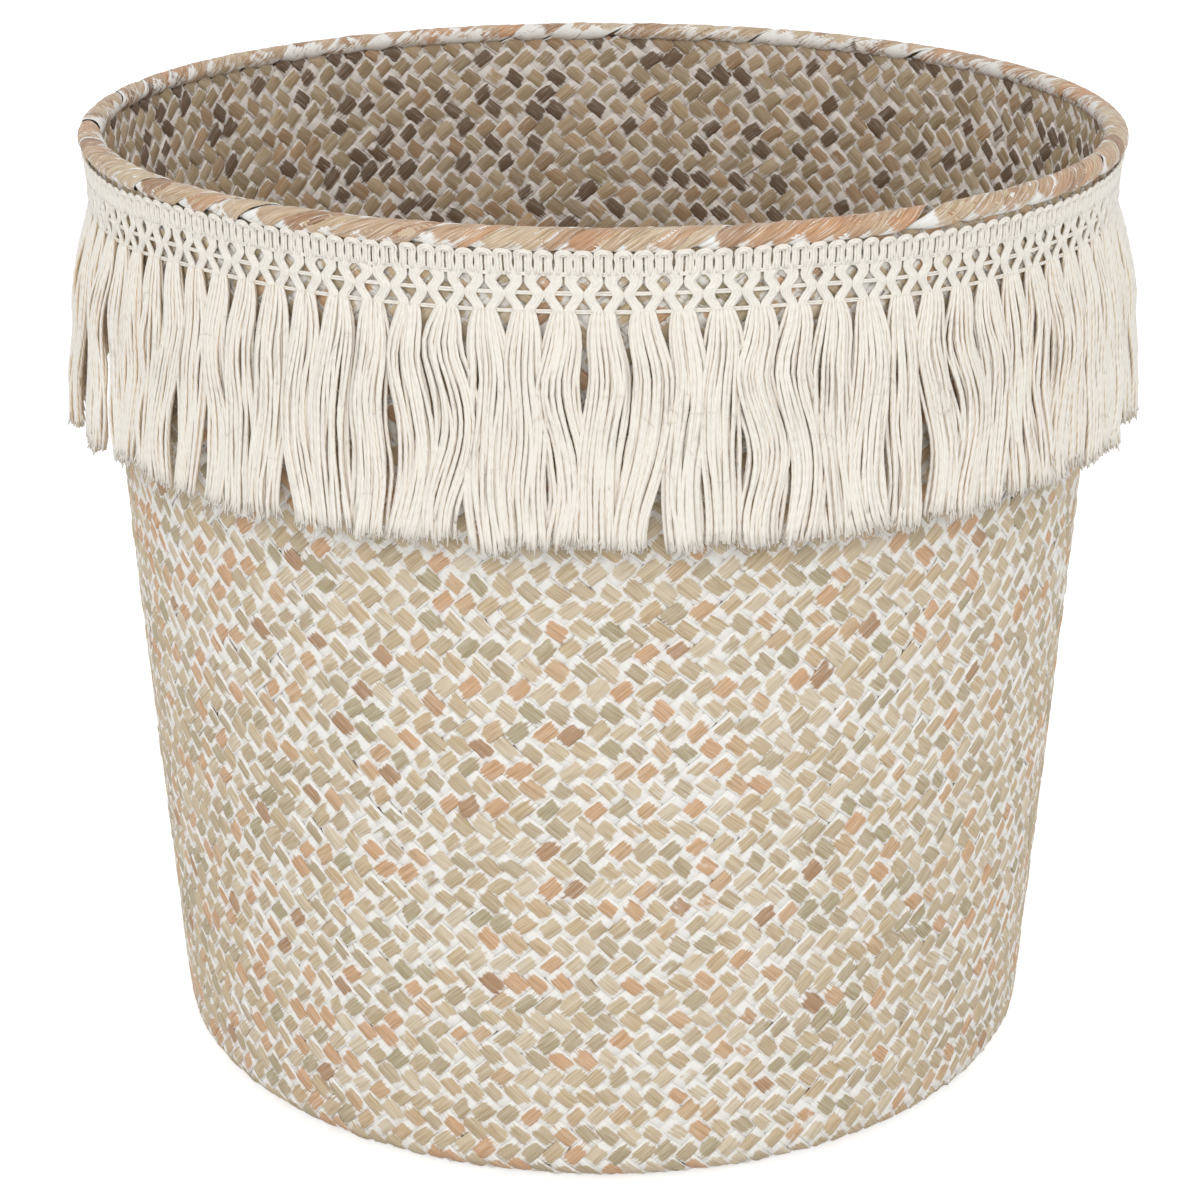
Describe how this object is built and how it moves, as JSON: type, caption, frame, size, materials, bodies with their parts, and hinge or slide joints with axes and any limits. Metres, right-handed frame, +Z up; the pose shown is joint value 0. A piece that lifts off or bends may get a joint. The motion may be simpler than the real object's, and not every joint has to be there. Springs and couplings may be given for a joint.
{
  "type": "reed basket",
  "caption": "Round open basket of twill-plaited flat reed, slightly flared, with a slant-bound rim and a knotted cotton fringe hung below it.",
  "frame": {"origin": "middle of the underside, on the surface that the basket stands on", "axes": "+Z up through the open mouth, -Y towards the front of the picture, +X to its right"},
  "size_m": [0.3068, 0.3068, 0.2779],
  "materials": {
    "reed_plait": "flat dry reed, beige to green-grey, brushed with white paint",
    "hoop_cane": "bare cane, hidden by the binding",
    "bound_reed": "warm tan reed strands with fine lengthwise grain",
    "cotton_trim": "cream cotton, crocheted",
    "cotton_yarn": "cream cotton yarn, loosely twisted, cut ends"
  },
  "bodies": {
    "root": {"plaited_base": "reed_plait", "plaited_wall": "reed_plait", "rim_hoop": "hoop_cane", "rim_binding": "bound_reed", "fringe_heading": "cotton_trim", "fringe_net": "cotton_trim", "tassel_pair_01": "cotton_yarn", "tassel_pair_02": "cotton_yarn", "tassel_pair_03": "cotton_yarn", "tassel_pair_04": "cotton_yarn", "tassel_pair_05": "cotton_yarn", "tassel_pair_06": "cotton_yarn", "tassel_pair_07": "cotton_yarn", "tassel_pair_08": "cotton_yarn", "tassel_pair_09": "cotton_yarn", "tassel_pair_10": "cotton_yarn", "tassel_pair_11": "cotton_yarn", "tassel_pair_12": "cotton_yarn", "tassel_pair_13": "cotton_yarn", "tassel_pair_14": "cotton_yarn", "tassel_pair_15": "cotton_yarn", "tassel_pair_16": "cotton_yarn", "tassel_pair_17": "cotton_yarn", "tassel_pair_18": "cotton_yarn", "tassel_pair_19": "cotton_yarn", "tassel_pair_20": "cotton_yarn", "tassel_pair_21": "cotton_yarn", "tassel_pair_22": "cotton_yarn", "tassel_pair_23": "cotton_yarn", "tassel_pair_24": "cotton_yarn", "tassel_pair_25": "cotton_yarn", "tassel_pair_26": "cotton_yarn", "tassel_pair_27": "cotton_yarn", "tassel_pair_28": "cotton_yarn", "tassel_pair_29": "cotton_yarn", "tassel_pair_30": "cotton_yarn", "tassel_pair_31": "cotton_yarn", "tassel_pair_32": "cotton_yarn", "tassel_pair_33": "cotton_yarn", "tassel_pair_34": "cotton_yarn", "tassel_pair_35": "cotton_yarn", "tassel_pair_36": "cotton_yarn", "tassel_pair_37": "cotton_yarn", "tassel_pair_38": "cotton_yarn", "tassel_pair_39": "cotton_yarn", "tassel_pair_40": "cotton_yarn", "tassel_pair_41": "cotton_yarn", "tassel_pair_42": "cotton_yarn", "tassel_pair_43": "cotton_yarn", "tassel_pair_44": "cotton_yarn", "tassel_pair_45": "cotton_yarn", "tassel_pair_46": "cotton_yarn", "tassel_pair_47": "cotton_yarn"}
  },
  "joints": []
}
